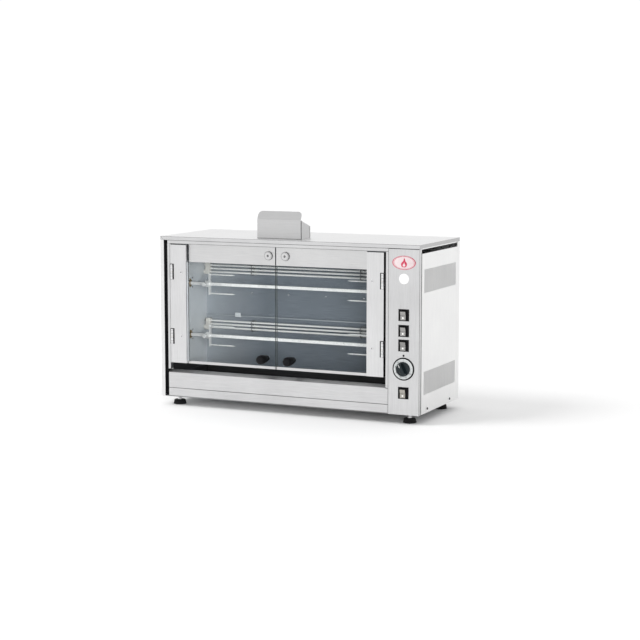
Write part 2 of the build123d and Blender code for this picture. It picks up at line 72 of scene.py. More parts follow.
LOCK_RADIUS, SLEEVE_DEPTH = 0.0145, 0.0053
HINGE_LENGTH = 0.0505                   # from a hinge's top to its foot
HINGE_INSET, HINGE_PROUD = 0.004, 0.001  # the axis, inside the stile's outer side and before its face
JAMB_GAP = {"left": 0.0035, "right": 0.0077}
NOTCH_DEPTH = 0.0092                    # where the seals keep behind the hinges
THREAD_PITCH = 0.0015
COVER_LIP = 0.0125
LINE_PROUD = 0.00035                    # how far a drawn line stands before and behind its sheet's face
FOLD_RISE = 0.2225                      # the back wall's fold above its foot
FOLD_BRACKET = 0.166                    # its bracket, as a share of the wall's width


# ---- Node-tree helpers ----

def new_material(name):
    material = bpy.data.materials.new(name)
    material.use_nodes = True
    tree = material.node_tree
    return material, tree, tree.nodes["Principled BSDF"]


def noise(tree, scale, stretch=(1, 1, 1), detail=3.0, roughness=0.5):
    """Noise in the row frame's metres, stretched by scaling each axis."""
    place = tree.nodes.new("ShaderNodeTexCoord")
    mapping = tree.nodes.new("ShaderNodeMapping")
    mapping.inputs["Scale"].default_value = stretch
    texture = tree.nodes.new("ShaderNodeTexNoise")
    texture.inputs["Scale"].default_value = scale
    texture.inputs["Detail"].default_value = detail
    texture.inputs["Roughness"].default_value = roughness
    tree.links.new(place.outputs["Object"], mapping.inputs["Vector"])
    tree.links.new(mapping.outputs["Vector"], texture.inputs["Vector"])
    return texture.outputs["Fac"]


def spread(tree, value, low, high, from_low=0.3, from_high=0.7):
    """Carries a noise value to a range of its own."""
    node = tree.nodes.new("ShaderNodeMapRange")
    node.inputs["From Min"].default_value = from_low
    node.inputs["From Max"].default_value = from_high
    node.inputs["To Min"].default_value = low
    node.inputs["To Max"].default_value = high
    tree.links.new(value, node.inputs["Value"])
    return node.outputs["Result"]


def math_node(tree, operation, a, b):
    node = tree.nodes.new("ShaderNodeMath")
    node.operation = operation
    for socket, value in zip(node.inputs, (a, b)):
        if isinstance(value, (int, float)):
            socket.default_value = value
        else:
            tree.links.new(value, socket)
    return node.outputs["Value"]


def mix_colour(tree, factor, first, second):
    """Mixes two colours by a factor; each is a plain colour or a socket."""
    node = tree.nodes.new("ShaderNodeMix")
    node.data_type = "RGBA"
    for name, value in (("A", first), ("B", second)):
        if isinstance(value, tuple):
            node.inputs[name].default_value = (*value, 1)
        else:
            tree.links.new(value, node.inputs[name])
    tree.links.new(factor, node.inputs["Factor"])
    return node.outputs["Result"]


def edge_light(tree, radius):
    """A rounded-edge normal for folded and pressed edges."""
    bevel = tree.nodes.new("ShaderNodeBevel")
    bevel.samples = 4
    bevel.inputs["Radius"].default_value = radius
    return bevel.outputs["Normal"]


def add_bump(tree, shader, height, distance, strength=0.4, edge=0.0):
    bump = tree.nodes.new("ShaderNodeBump")
    bump.inputs["Strength"].default_value = strength
    bump.inputs["Distance"].default_value = distance
    tree.links.new(height, bump.inputs["Height"])
    if edge:
        tree.links.new(edge_light(tree, edge), bump.inputs["Normal"])
    tree.links.new(bump.outputs["Normal"], shader.inputs["Normal"])


def brushed(name, dark, light, grain, rough=(0.26, 0.4), edge=0.0006, metallic=1.0):
    """Brushed sheet: fine streaks along the grain axis, broad handling marks and soft folded edges."""
    material, tree, shader = new_material(name)
    stretch = [260.0, 260.0, 260.0]
    stretch["XYZ".index(grain)] = 3.0
    streaks = noise(tree, 5.0, stretch, 4.0, 0.6)
    clouds = noise(tree, 6.0, detail=4.0, roughness=0.55)
    tone = math_node(tree, "ADD", math_node(tree, "MULTIPLY", streaks, 0.65),
                     math_node(tree, "MULTIPLY", clouds, 0.35))
    colour = mix_colour(tree, spread(tree, tone, 0, 1, 0.36, 0.64), dark, light)
    tree.links.new(colour, shader.inputs["Base Color"])
    roughness = math_node(tree, "ADD", spread(tree, streaks, *rough), spread(tree, clouds, 0.0, 0.05))
    tree.links.new(roughness, shader.inputs["Roughness"])
    shader.inputs["Metallic"].default_value = metallic
    add_bump(tree, shader, streaks, 0.00006, 0.35, edge)
    return material


def polished(name, dark, light, rough=(0.08, 0.2), metallic=1.0):
    """Polished or cast metal, with a faint cloudiness."""
    material, tree, shader = new_material(name)
    fine = noise(tree, 380.0)
    broad = noise(tree, 35.0)
    tree.links.new(mix_colour(tree, spread(tree, broad, 0, 1), dark, light), shader.inputs["Base Color"])
    tree.links.new(spread(tree, fine, *rough), shader.inputs["Roughness"])
    shader.inputs["Metallic"].default_value = metallic
    add_bump(tree, shader, fine, 0.00003, 0.3, 0.0004)
    return material


def moulded(name, dark, light, rough=(0.3, 0.5), grain=900.0, edge=0.0004, shine=0.5):
    """Moulded plastic, rubber or paint: a fine spark-eroded grain with duller and shinier patches."""
    material, tree, shader = new_material(name)
    fine = noise(tree, grain, detail=2.0)
    broad = noise(tree, 28.0)
    tree.links.new(mix_colour(tree, spread(tree, broad, 0, 1), dark, light), shader.inputs["Base Color"])
    tree.links.new(spread(tree, broad, *rough), shader.inputs["Roughness"])
    shader.inputs["Specular IOR Level"].default_value = shine
    add_bump(tree, shader, fine, 0.00005, 0.4, edge)
    return material


def heat_stained(name, dark, light, stain, metallic, painted_light=0.0):
    """Oven lining: brushed sheet dulled by heat, with warm baked-on patches. The last argument paints light
    on its left end, as painted light.
    """
    material, tree, shader = new_material(name)
    streaks = noise(tree, 5.0, (3.0, 200.0, 200.0), 4.0, 0.6)
    clouds = noise(tree, 4.5, detail=5.0, roughness=0.6)
    spots = noise(tree, 60.0, detail=4.0, roughness=0.7)
    colour = mix_colour(tree, spread(tree, streaks, 0, 1, 0.35, 0.65), dark, light)
    # painted light: the sheet's left end is mixed towards a paler steel
    if painted_light:
        place = tree.nodes.new("ShaderNodeTexCoord")
        split = tree.nodes.new("ShaderNodeSeparateXYZ")
        tree.links.new(place.outputs["Object"], split.inputs["Vector"])
        painted_light_share = spread(tree, split.outputs["X"], painted_light, 0, -0.44, -0.20)
        colour = mix_colour(tree, painted_light_share, colour, PAINTED_LIGHT_STEEL)
    amount = math_node(tree, "MULTIPLY", spread(tree, clouds, 0, 0.5, 0.5, 0.75), spread(tree, spots, 0.3, 1))
    tree.links.new(mix_colour(tree, amount, colour, stain), shader.inputs["Base Color"])
    tree.links.new(spread(tree, clouds, 0.32, 0.52), shader.inputs["Roughness"])
    shader.inputs["Metallic"].default_value = metallic
    add_bump(tree, shader, streaks, 0.00008, 0.4, 0.0005)
    return material


def clear_glass(name):
    """Toughened pane: see-through, with a clear reflection and faint wiped haze."""
    material, tree, shader = new_material(name)
    shader.inputs["Base Color"].default_value = (0.02, 0.025, 0.025, 1)
    shader.inputs["IOR"].default_value = 1.5
    haze = noise(tree, 14.0, (1, 1, 0.4), 4.0, 0.6)
    tree.links.new(spread(tree, haze, 0.015, 0.05), shader.inputs["Roughness"])
    clear = tree.nodes.new("ShaderNodeBsdfTransparent")
    clear.inputs["Color"].default_value = (0.975, 0.985, 0.985, 1)
    angle = tree.nodes.new("ShaderNodeLayerWeight")
    angle.inputs["Blend"].default_value = 0.5
    grazing = math_node(tree, "POWER", angle.outputs["Facing"], 5.0)
    mirrored = math_node(tree, "ADD", math_node(tree, "MULTIPLY", grazing, 0.96), 0.035)
    mix = tree.nodes.new("ShaderNodeMixShader")
    output = tree.nodes["Material Output"]
    tree.links.new(mirrored, mix.inputs["Fac"])
    tree.links.new(clear.outputs["BSDF"], mix.inputs[1])
    tree.links.new(shader.outputs["BSDF"], mix.inputs[2])
    tree.links.new(mix.outputs["Shader"], output.inputs["Surface"])
    return material


def make_materials():
    return {
        # One brushed stainless in lit and shaded copies: the side, top and stile copies are painted lighter
        # and the side lip and flue copies darker, as painted light and shade for how light falls on each
        # face.
        "front": brushed("case_front_steel", (0.57, 0.57, 0.575), (0.73, 0.73, 0.735), "X"),
        "upright": brushed("case_upright_steel", (0.58, 0.58, 0.585), (0.73, 0.73, 0.735), "Z"),
        "side": brushed("case_side_steel_painted_light", (0.78, 0.78, 0.78), (0.88, 0.88, 0.875), "Z", (0.34, 0.5)),
        "painted_shade_side_lip": brushed("side_lip_steel", (0.44, 0.44, 0.445), (0.56, 0.56, 0.56), "Y", (0.36, 0.5)),
        "top": brushed("case_top_steel_painted_light", (0.76, 0.76, 0.765), (0.87, 0.87, 0.87), "X", (0.24, 0.4)),
        "door": brushed("door_steel", (0.58, 0.58, 0.585), (0.72, 0.72, 0.72), "X"),
        "stile": brushed("stile_steel_painted_light", (0.64, 0.64, 0.645), (0.77, 0.77, 0.775), "Z"),
        "flue": brushed("flue_steel_painted_shade", (0.56, 0.56, 0.565), (0.66, 0.66, 0.66), "X", (0.36, 0.5)),
        # the back wall's and roof's left end carries painted light
        "lining": heat_stained("cavity_lining", (0.13, 0.155, 0.185), (0.21, 0.235, 0.27),
                               (0.10, 0.09, 0.08), 0.35,
                               painted_light=0.75),
        # painted light: a much lighter copy of the cavity lining, on the side walls, the stile returns and
        # the fold bracket
        "painted_light_side_lining": heat_stained("cavity_side_lining", (0.60, 0.63, 0.66), (0.78, 0.80, 0.82),
                                    (0.4, 0.38, 0.35), 0.2),
        # painted highlight: a lighter copy of the lining for the lit fold across the back wall
        "fold": heat_stained("fold_painted_highlight_steel", (0.32, 0.35, 0.38), (0.46, 0.49, 0.52), (0.3, 0.3, 0.3), 0.3),
        # painted shade: near black, standing for the dark opening under the doors, with baked-on stains
        "tray": heat_stained("drip_tray_painted_shade_steel", (0.016, 0.017, 0.018), (0.042, 0.043, 0.045),
                             (0.02, 0.014, 0.01), 0.4),
        "pan": heat_stained("base_pan_steel", (0.26, 0.27, 0.28), (0.40, 0.41, 0.42), (0.14, 0.10, 0.06),
                            0.8),
        "polished": polished("polished_steel", (0.72, 0.72, 0.73), (0.86, 0.86, 0.87)),
        "spit": polished("spit_steel", (0.80, 0.80, 0.80), (0.93, 0.93, 0.92), (0.25, 0.4), 0.35),
        "sheath": brushed("element_sheath", (0.78, 0.775, 0.765), (0.94, 0.935, 0.925), "Y", (0.3, 0.45),
                          0.0, 0.15),
        "bronze": polished("bearing_bronze", (0.45, 0.33, 0.18), (0.62, 0.47, 0.28), (0.25, 0.4)),
        "casing": moulded("motor_paint", (0.05, 0.055, 0.06), (0.09, 0.095, 0.10), (0.4, 0.55)),
        "glass": clear_glass("toughened_glass"),
        "rubber": moulded("black_rubber", (0.008, 0.008, 0.009), (0.016, 0.016, 0.017), (0.6, 0.8), 500.0,
                          0.0004, 0.2),
        "black": moulded("black_moulding", (0.004, 0.004, 0.005), (0.008, 0.008, 0.009), (0.42, 0.55), 900.0,
                         0.0003, 0.12),
        "knob": moulded("knob_moulding", (0.003, 0.007, 0.009), (0.008, 0.015, 0.018), (0.25, 0.38), 900.0,
                        0.0004, 0.35),
        "dial": moulded("dial_face", (0.50, 0.52, 0.52), (0.60, 0.62, 0.62), (0.3, 0.45)),
        "rocker": moulded("rocker_grey", (0.20, 0.195, 0.19), (0.30, 0.295, 0.29), (0.22, 0.34)),
        "rocker_warm": moulded("rocker_lit_grey", (0.27, 0.255, 0.23), (0.40, 0.38, 0.34), (0.22, 0.34)),
        "lens": moulded("rocker_lens", (0.78, 0.78, 0.76), (0.92, 0.92, 0.90), (0.15, 0.25)),
        "white_label": moulded("white_label", (0.76, 0.76, 0.76), (0.84, 0.84, 0.84), (0.45, 0.6), 1500.0),
        "crimson": moulded("crimson_enamel", (0.42, 0.02, 0.06), (0.52, 0.035, 0.085), (0.18, 0.3)),
        "blush": moulded("pale_enamel", (0.60, 0.50, 0.51), (0.68, 0.58, 0.59), (0.2, 0.32)),
        # black for print, seals and inserts, and painted shade in gaps, slots and notches
        "black_and_shade": moulded("dark_recess", (0.006, 0.006, 0.007), (0.012, 0.012, 0.013), (0.6, 0.8), 900.0,
                          0.0, 0.1),
        # painted shade: dark grey for folded edges, joints and the side of each lock's disc
        "painted_shade_line": moulded("hem_shadow", (0.09, 0.09, 0.092), (0.15, 0.15, 0.153), (0.5, 0.7), 900.0, 0.0, 0.2),
        "glass_edge": moulded("ground_glass_edge", (0.03, 0.04, 0.038), (0.07, 0.085, 0.08), (0.3, 0.45)),
        "ceramic": moulded("element_ceramic", (0.62, 0.605, 0.57), (0.74, 0.72, 0.68), (0.5, 0.65)),
    }


LOOK = {
    "front": ["header_rail", "base_front_rail", "drawer_front", "drawer_lip"],
    "upright": ["left_jamb", "right_jamb", "control_panel"],
    "side": ["left_side_panel", "right_side_panel", "rear_panel"],
    "top": ["top_cover"],
    "door": ["left_door_lock", "right_door_lock", "left_door_top_rail", "right_door_top_rail",
             "left_door_bottom_trim", "right_door_bottom_trim"],
    "stile": ["left_door_stile", "right_door_stile"],
    "flue": ["chimney_front", "chimney_body"],
    "lining": ["cavity_back_wall", "cavity_roof"],
    "painted_light_side_lining": ["cavity_left_wall", "cavity_right_wall"],
    "tray": ["drip_tray", "tray_shelf"],
    "pan": ["base_pan", "element_brackets"],
    "polished": ["frame_hinges", "left_door_knuckles", "right_door_knuckles",
                 "left_door_screws", "right_door_screws", "foot_studs"],
    "spit": ["upper_spit", "lower_spit", "upper_spit_forks", "lower_spit_forks",
             "upper_drive_socket", "lower_drive_socket"],
    "sheath": ["heating_elements"],
    "bronze": ["spit_bearings"],
    "casing": ["gearmotors"],
    "glass": ["left_door_glass", "right_door_glass"],
    "rubber": ["rubber_feet"],
    "black": ["left_door_handle", "right_door_handle", "rocker_frames", "thermostat_body", "cable_gland",
              "dial_disc", "pilot_lamp", "panel_screws", "rocker_1", "rocker_2", "rocker_3", "rocker_4"],
    "knob": ["thermostat_knob"],
}


def shade(piece, angle=35):
    """Smooth shading with sharp edges kept where faces meet at more than the angle."""
    mesh = piece.data
    mesh.shade_smooth()
    mesh.set_sharp_from_angle(angle=math.radians(angle))


def dress_frame(materials):
    for look, names in LOOK.items():
        for name in names:
            mesh = nodes[name].data
            mesh.materials.clear()
            mesh.materials.append(materials[look])


# ---- Stage ----

def lamp_object(name, kind, place, target, energy):
    """A studio lamp that lights surfaces softly and doesn't show as a highlight in the steel."""
    lamp = bpy.data.lights.new(name, kind)
    lamp.energy = energy
    holder = bpy.data.objects.new(name, lamp)
    holder.location = place
    holder.rotation_euler = (Vector(target) - Vector(place)).to_track_quat("-Z", "Y").to_euler()
    holder.visible_glossy = False
    bpy.context.scene.collection.objects.link(holder)
    return lamp


def make_stage():
    mesh = bpy.data.meshes.new("studio_floor")
    reach = 14.0
    mesh.from_pydata([(-reach, -reach, 0), (reach, -reach, 0), (reach, reach, 0), (-reach, reach, 0)], [],
                     [(0, 1, 2, 3)])
    floor = bpy.data.objects.new("studio_floor", mesh)
    bpy.context.scene.collection.objects.link(floor)
    material, tree, shader = new_material("studio_floor")
    shader.inputs["Base Color"].default_value = (0.95, 0.95, 0.95, 1)
    shader.inputs["Roughness"].default_value = 0.9
    shader.inputs["Specular IOR Level"].default_value = 0.0
    mesh.materials.append(material)
    world = bpy.data.worlds.new("studio_air")
    world.use_nodes = True
    tree = world.node_tree
    background = tree.nodes["Background"]
    background.inputs["Color"].default_value = (1, 1, 1, 1)
    direction = tree.nodes.new("ShaderNodeTexCoord")
    parts = tree.nodes.new("ShaderNodeSeparateXYZ")
    tree.links.new(direction.outputs["Generated"], parts.inputs["Vector"])
    tree.links.new(spread(tree, parts.outputs["Z"], 1.04, 0.82, 0.1, 0.9), background.inputs["Strength"])
    bpy.context.scene.world = world
    sun = lamp_object("key_sun", "SUN", (-1.3, -1.0, 1.7), (0, 0, 0), 0.95)
    sun.angle = math.radians(24)
    fill = lamp_object("cavity_fill", "AREA", (1.2, -2.3, 0.62), (-0.52, 0.02, 0.38), 3.3)
    fill.shape = "RECTANGLE"
    fill.size, fill.size_y = 1.0, 0.7
    fill.spread = math.radians(36)


def make_camera():
    camera = bpy.data.cameras.new("photo_camera")
    camera.sensor_width = 36
    camera.lens = 93.37
    camera.clip_end = 60
    holder = bpy.data.objects.new("photo_camera", camera)
    holder.location = (2.383, -5.0908, 1.0096)
    yaw, pitch = math.radians(24.64), math.radians(-7.19)
    direction = Vector((-math.sin(yaw) * math.cos(pitch), math.cos(yaw) * math.cos(pitch), math.sin(pitch)))
    holder.rotation_euler = direction.to_track_quat("-Z", "Y").to_euler()
    bpy.context.scene.collection.objects.link(holder)
    bpy.context.scene.camera = holder


# ---- Mesh helpers ----

def finish_mesh(name, bm, material, body, angle=35):
    bmesh.ops.recalc_face_normals(bm, faces=bm.faces)
    mesh = bpy.data.meshes.new(name)
    bm.to_mesh(mesh)
    bm.free()
    piece = bpy.data.objects.new(name, mesh)
    bpy.context.scene.collection.objects.link(piece)
    mesh.materials.append(material)
    shade(piece, angle)
    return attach(piece, body)


def add_slab(bm, low, high, bevel=0.0, turn=None):
    """A block from low to high with rounded edges; turn is a matrix applied about its middle."""
    low, high = Vector(low), Vector(high)
    made = bmesh.ops.create_cube(bm, size=1.0)["verts"]
    size, middle = high - low, (low + high) / 2
    place = Matrix.Translation(middle) @ (turn or Matrix.Identity(4)) @ Matrix.Diagonal((*size, 1))
    bmesh.ops.transform(bm, matrix=place, verts=made)
    if bevel:
        edges = list({edge for vert in made for edge in vert.link_edges})
        bmesh.ops.bevel(bm, geom=edges, offset=bevel, segments=2, affect="EDGES", profile=0.6)


def slab(name, low, high, material, body, bevel=0.0003):
    bm = bmesh.new()
    add_slab(bm, low, high, bevel)
    return finish_mesh(name, bm, material, body)


AXIS_TURN = {
    "X": Matrix.Rotation(math.radians(90), 4, "Y"),
    "Y": Matrix.Rotation(math.radians(-90), 4, "X"),
    "Z": Matrix.Identity(4),
}


def add_lathe(bm, profile, centre, axis="Z", segments=40, turn=None):
    """A turned form: (radius, along) points about an axis through centre. Radius 0 closes an end."""
    place = Matrix.Translation(centre) @ (turn or Matrix.Identity(4)) @ AXIS_TURN[axis]
    rings = []
    for radius, along in profile:
        if radius == 0:
            rings.append([bm.verts.new(place @ Vector((0, 0, along)))])
            continue
        angles = [2 * math.pi * index / segments for index in range(segments)]
        rings.append([bm.verts.new(place @ Vector((radius * math.cos(a), radius * math.sin(a), along)))
                      for a in angles])
    for first, second in zip(rings, rings[1:]):
        for index in range(segments):
            after = (index + 1) % segments
            if len(first) == 1 and len(second) == 1:
                continue
            if len(first) == 1:
                bm.faces.new((first[0], second[index], second[after]))
            elif len(second) == 1:
                bm.faces.new((first[index], first[after], second[0]))
            else:
                bm.faces.new((first[index], first[after], second[after], second[index]))


def washer(inner, outer, low, high, soft=0.0002):
    """A closed ring's outline for add_lathe, with softened outer corners."""
    return [(inner, low), (outer - soft, low), (outer, low + soft), (outer, high - soft),
            (outer - soft, high),
            (inner, high), (inner, low)]


def dome(radius, height):
    """A rivet head's outline for add_lathe."""
    steps = 5
    curve = [(radius * math.cos(math.pi / 2 * k / steps), height * math.sin(math.pi / 2 * k / steps))
             for k in range(steps)]
    return [(0, 0)] + curve + [(0, height)]


def wire_loop(name, points, radius, material, body):
    """A round wire that runs through the points and closes on itself."""
    curve = bpy.data.curves.new(name, "CURVE")
    curve.dimensions = "3D"
    curve.bevel_depth = radius
    curve.bevel_resolution = 3
    spline = curve.splines.new("POLY")
    spline.points.add(len(points) - 1)
    for point, place in zip(spline.points, points):
        point.co = (*place, 1)
    spline.use_cyclic_u = True
    maker = bpy.data.objects.new(name, curve)
    mesh = bpy.data.meshes.new_from_object(maker)
    bpy.data.objects.remove(maker)
    piece = bpy.data.objects.new(name, mesh)
    bpy.context.scene.collection.objects.link(piece)
    mesh.materials.clear()
    mesh.materials.append(material)
    shade(piece)
    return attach(piece, body)


def islands(node):
    """The boxes of the separate solids in a node, sorted by x, then y, then z."""
    bm = bmesh.new()
    bm.from_mesh(nodes[node].data)
    bmesh.ops.remove_doubles(bm, verts=bm.verts, dist=1e-6)
    waiting = set(bm.verts)
    boxes = []
    while waiting:
        stack, found = [waiting.pop()], []
        while stack:
            vert = stack.pop()
            found.append(vert.co.copy())
            for edge in vert.link_edges:
                other = edge.other_vert(vert)
                if other in waiting:
                    waiting.remove(other)
                    stack.append(other)
        boxes.append((Vector(map(min, zip(*found))), Vector(map(max, zip(*found)))))
    bm.free()
    return sorted(boxes, key=lambda b: (round(b[0].x, 4), round(b[0].y, 4), round(b[0].z, 4)))


def middle(pair):
    return (pair[0] + pair[1]) / 2


def between_hinges(side, bottom, top, clearance):
    """The stretches from bottom to top that a door's hinges leave free."""
    start = bottom
    for _, hinge_top in islands(f"{side}_door_knuckles"):
        yield start, hinge_top.z - HINGE_LENGTH - clearance
        start = hinge_top.z + clearance
    yield start, top


def pane_opening(side):
    """The levels of a door's bottom trim and top rail, where its pane shows between them."""
    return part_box(f"{side}_door_bottom_trim")[1].z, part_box(f"{side}_door_top_rail")[0].z


# ---- Controls ----

def make_dial(materials):
    """The pale scale ring on the dial, with its marks and figures."""
    low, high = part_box("dial_disc")
    centre = middle((low, high))
    face = high.y - DIAL_FACE
    ring = Vector((centre.x, 0, centre.z))
    bm = bmesh.new()
    add_lathe(bm, washer(SCALE_INNER, SCALE_OUTER, face - 0.0003, face + 0.0001), ring, "Y", 96)
    finish_mesh("dial_scale_ring", bm, materials["dial"], "thermostat")
    marks = bmesh.new()
    for step in range(DIAL_SWEEP // MARK_STEP + 1):
        reach, half = (0.0022, 0.00032) if step % 4 == 0 else (0.0013, 0.0002)
        turn = Matrix.Rotation(math.radians(-MARK_STEP * step), 4, "Y")
        place = ring + turn @ Vector((0, face - 0.0004, MARK_END - reach / 2))
        span = Vector((half, 0.0001, reach / 2))
        add_slab(marks, place - span, place + span, 0, turn)
    finish_mesh("dial_marks", marks, materials["black_and_shade"], "thermostat")
    for step, figure in enumerate(("0", "50", "100", "150", "200", "250", "300")):
        text = bpy.data.curves.new(f"dial_figure_{figure}", "FONT")
        text.body = figure
        text.size = FIGURE_SIZE
        text.align_x = "CENTER"
        text.align_y = "CENTER"
        text.extrude = 0.00006
        label = bpy.data.objects.new(f"dial_figure_{figure}", text)
        turn = Matrix.Rotation(math.radians(-FIGURE_STEP * step), 4, "Y")
        spot = ring + turn @ Vector((0, face - 0.00036, FIGURE_RADIUS))
        label.matrix_world = Matrix.Translation(spot) @ turn @ Matrix.Rotation(math.radians(90), 4, "X")
        bpy.context.scene.collection.objects.link(label)
        text.materials.append(materials["black_and_shade"])
        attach(label, "thermostat")


def make_knob_pointer(materials):
    """The white line on the knob's grip, and the ribs around its skirt."""
    low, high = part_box("thermostat_knob")
    centre = middle((low, high))
    hub = Vector((centre.x, 0, centre.z))
    lean = Matrix.Rotation(math.radians(-27), 4, "Y")
    pointer_half, rib_half = Vector((0.0007, 0.0002, 0.0058)), Vector((0.0007, 0.0024, 0.0005))
    bm = bmesh.new()
    spot = hub + lean @ Vector((0, low.y + 0.00005, POINTER_RADIUS))
    add_slab(bm, spot - pointer_half, spot + pointer_half, 0.0001, lean)
    finish_mesh("knob_pointer", bm, materials["lens"], "thermostat")
    ribs = bmesh.new()
    for index in range(360 // RIB_STEP):
        turn = Matrix.Rotation(math.radians(RIB_STEP * index), 4, "Y")
        spot = hub + turn @ Vector((0, low.y + 0.0205, RIB_RADIUS))
        add_slab(ribs, spot - rib_half, spot + rib_half, 0.0003, turn)
    finish_mesh("knob_skirt_ribs", ribs, materials["knob"], "thermostat")


def paddle_place(level, front, height):
    """Where the middle of a paddle half's face lies once the paddle is tipped, and how it is turned."""
    tip = Matrix.Rotation(ROCKER_TILT, 4, "X")
    spot = tip @ Vector((0, -PADDLE_FACE - ROCKER_PIVOT, height)) + Vector((0, front + ROCKER_PIVOT, level))
    return spot, tip @ Matrix.Rotation(-PADDLE_SLOPE if height < 0 else PADDLE_SLOPE, 4, "X")


def make_rockers(materials):
    """Grey faces on the black paddles, with a white lens low on each."""
    panel_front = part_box("control_panel")[0].y
    dome_out = Matrix.Rotation(math.pi, 4, "Z")
    for number, frame_box in enumerate(sorted(islands("rocker_frames"), key=lambda b: -b[0].z), 1):
        centre = middle(frame_box)
        faces, lens = bmesh.new(), bmesh.new()
        for height in (PADDLE_MIDDLE, -PADDLE_MIDDLE):
            spot, slope = paddle_place(centre.z, panel_front, height)
            place = Vector((centre.x, spot.y, spot.z))
            for half in PADDLE_LAYERS:
                add_slab(faces, place - Vector(half), place + Vector(half), 0.00012, slope)
        look = "rocker_warm" if number == 4 else "rocker"
        finish_mesh(f"rocker_face_{number}", faces, materials[look], f"rocker_switch_{number}")
        profile = [(0, -0.0005), (0.0029, -0.0005), (0.0029, 0.0006), (0.0024, 0.0010), (0.0012, 0.0013),
                   (0, 0.0014)]
        spot, slope = paddle_place(centre.z, panel_front, -PADDLE_MIDDLE)
        add_lathe(lens, profile, (centre.x, spot.y, spot.z), "Y", 28, slope @ dome_out)
        finish_mesh(f"rocker_lens_{number}", lens, materials["lens"], f"rocker_switch_{number}")


def flame_outline():
    """Bezier points of a generic flame: a teardrop with a curl, about one unit tall."""
    return [((0.00, -0.50), (-0.30, -0.50), (0.30, -0.50)), ((0.34, -0.12), (0.36, -0.34), (0.32, 0.08)),
            ((0.14, 0.22), (0.20, 0.06), (0.12, 0.32)), ((0.02, 0.52), (0.12, 0.42), (-0.06, 0.40)),
            ((-0.16, 0.12), (-0.02, 0.24), (-0.24, 0.04)), ((-0.34, -0.16), (-0.34, -0.02), (-0.34, -0.36))]


def flat_shape(name, outline, size, place, thickness, material, body):
    """A thin plate on the front. Each point of its outline is (place, left handle, right handle)."""
    curve = bpy.data.curves.new(name, "CURVE")
    curve.dimensions = "2D"
    curve.fill_mode = "BOTH"
    curve.extrude = thickness / 2
    curve.resolution_u = 16
    spline = curve.splines.new("BEZIER")
    spline.bezier_points.add(len(outline) - 1)
    for point, (co, left, right) in zip(spline.bezier_points, outline):
        point.co = (co[0] * size, co[1] * size, 0)
        point.handle_left = (left[0] * size, left[1] * size, 0)
        point.handle_right = (right[0] * size, right[1] * size, 0)
    spline.use_cyclic_u = True
    shape = bpy.data.objects.new(name, curve)
    shape.matrix_world = Matrix.Translation(place) @ Matrix.Rotation(math.radians(90), 4, "X")
    bpy.context.scene.collection.objects.link(shape)
    curve.materials.append(material)
    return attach(shape, body)


def make_badge(materials):
    """A plain oval emblem with a flame, and a blank round label under it."""
    low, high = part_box("control_panel")
    front, x = low.y, middle(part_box("rocker_frames")).x
    level = high.z - BADGE_DROP
    oval = Matrix.Diagonal((1.0, 1.0, BADGE_SQUASH, 1.0))
    rise = 0.0006
    plate = [(0, -rise), (BADGE_RADIUS - 0.0003, -rise), (BADGE_RADIUS, -rise + 0.0002), (BADGE_RADIUS, 0),
             (0, 0)]
    for name, profile, look in (
        ("badge_plate", plate, "blush"),
        ("badge_rim", washer(0.0374, BADGE_RADIUS, -0.0010, -0.00002), "crimson"),
        ("badge_inner_line", washer(0.0340, 0.0350, -0.0008, -0.00002), "crimson"),
    ):
        bm = bmesh.new()
        add_lathe(bm, profile, (x, front, level), "Y", 96, oval)
        finish_mesh(name, bm, materials[look], "case")
    flat_shape("badge_flame", flame_outline(), 0.029, (x, front - 0.0007, level), 0.0006,
               materials["crimson"], "case")
    flat_shape("badge_flame_heart", flame_outline(), 0.013, (x, front - 0.0009, level - 0.0055), 0.0008,
               materials["blush"], "case")
    bm = bmesh.new()
    profile = [(0, -0.0003), (LABEL_RADIUS - 0.0002, -0.0003), (LABEL_RADIUS, 0), (0, 0)]
    add_lathe(bm, profile, (x, front, level - LABEL_DROP), "Y", 72)
    finish_mesh("blank_label", bm, materials["white_label"], "case")


# ---- Fittings ----

def cross_recess(bm, centre, axis, reach):
    """Painted shade: the two dark slots of a cross-headed screw, as thin black slabs on a head that faces
    along the axis.
    """
    thin, deep = reach * 0.22, 0.0002
    spans = {"X": ((deep, reach, thin), (deep, thin, reach)),
                   "Y": ((reach, deep, thin), (thin, deep, reach))}[axis]
    for span in spans:
        add_slab(bm, Vector(centre) - Vector(span), Vector(centre) + Vector(span))


def make_screw_recesses(materials):
    bm = bmesh.new()
    for low, high in islands("panel_screws"):
        centre = middle((low, high))
        if high.x - low.x < high.z - low.z:
            outer = low.x if centre.x < 0 else high.x
            cross_recess(bm, (outer, centre.y, centre.z), "X", 0.0022)
        else:
            cross_recess(bm, (centre.x, high.y, centre.z), "Y", 0.0022)
    finish_mesh("panel_screw_recesses", bm, materials["black_and_shade"], "case")
    for side in ("left", "right"):
        bm = bmesh.new()
        for low, high in islands(f"{side}_door_screws"):
            centre = middle((low, high))
            if high.x - low.x < 0.012:
                cross_recess(bm, (centre.x, low.y, centre.z), "Y", 0.0024)
        finish_mesh(f"{side}_door_screw_recesses", bm, materials["black_and_shade"], f"{side}_door")


